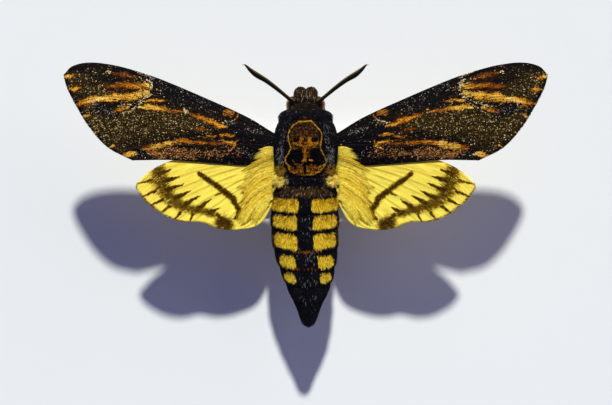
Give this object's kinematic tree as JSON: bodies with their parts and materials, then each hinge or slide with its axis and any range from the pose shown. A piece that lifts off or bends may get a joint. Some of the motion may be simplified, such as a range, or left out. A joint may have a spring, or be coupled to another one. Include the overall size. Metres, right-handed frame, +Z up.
{
  "type": "set hawkmoth on display stand",
  "caption": "Life-size death's-head hawkmoth, wings spread as a set specimen, held above a small flat base by a short rod.",
  "frame": {"origin": "centre of the stand base's underside", "axes": "+X towards the moth's right wing tips, +Y towards its head, +Z up"},
  "size_m": [0.1198, 0.0665, 0.0348],
  "materials": {
    "forewing_scales": "matt fine scales, dark brown with ochre marks",
    "hindwing_scales": "matt fine scales, yellow with dark bands",
    "thorax_pile": "dense dark pile with a paler skull-like mark",
    "abdomen_pile": "short pile, black with yellow bands",
    "head_pile": "dense dark brown pile",
    "eye_lens": "dark glossy compound eye",
    "feeler": "dark horn with a pale tip",
    "leg_scales": "dark brown pile with pale rings",
    "tongue_horn": "reddish brown horn",
    "base_acrylic": "white acrylic, satin",
    "rod_steel": "fine brushed"
  },
  "bodies": {
    "root": {"head": "head_pile", "eye_left": "eye_lens", "eye_right": "eye_lens", "palp_left": "head_pile", "palp_right": "head_pile", "proboscis": "tongue_horn", "antenna_left": "feeler", "antenna_right": "feeler", "thorax": "thorax_pile", "abdomen": "abdomen_pile", "forewing_left": "forewing_scales", "forewing_right": "forewing_scales", "hindwing_left": "hindwing_scales", "hindwing_right": "hindwing_scales", "foreleg_left": "leg_scales", "foreleg_right": "leg_scales", "midleg_left": "leg_scales", "midleg_right": "leg_scales", "hindleg_left": "leg_scales", "hindleg_right": "leg_scales", "stand_base": "base_acrylic", "stand_rod": "rod_steel"}
  },
  "joints": []
}
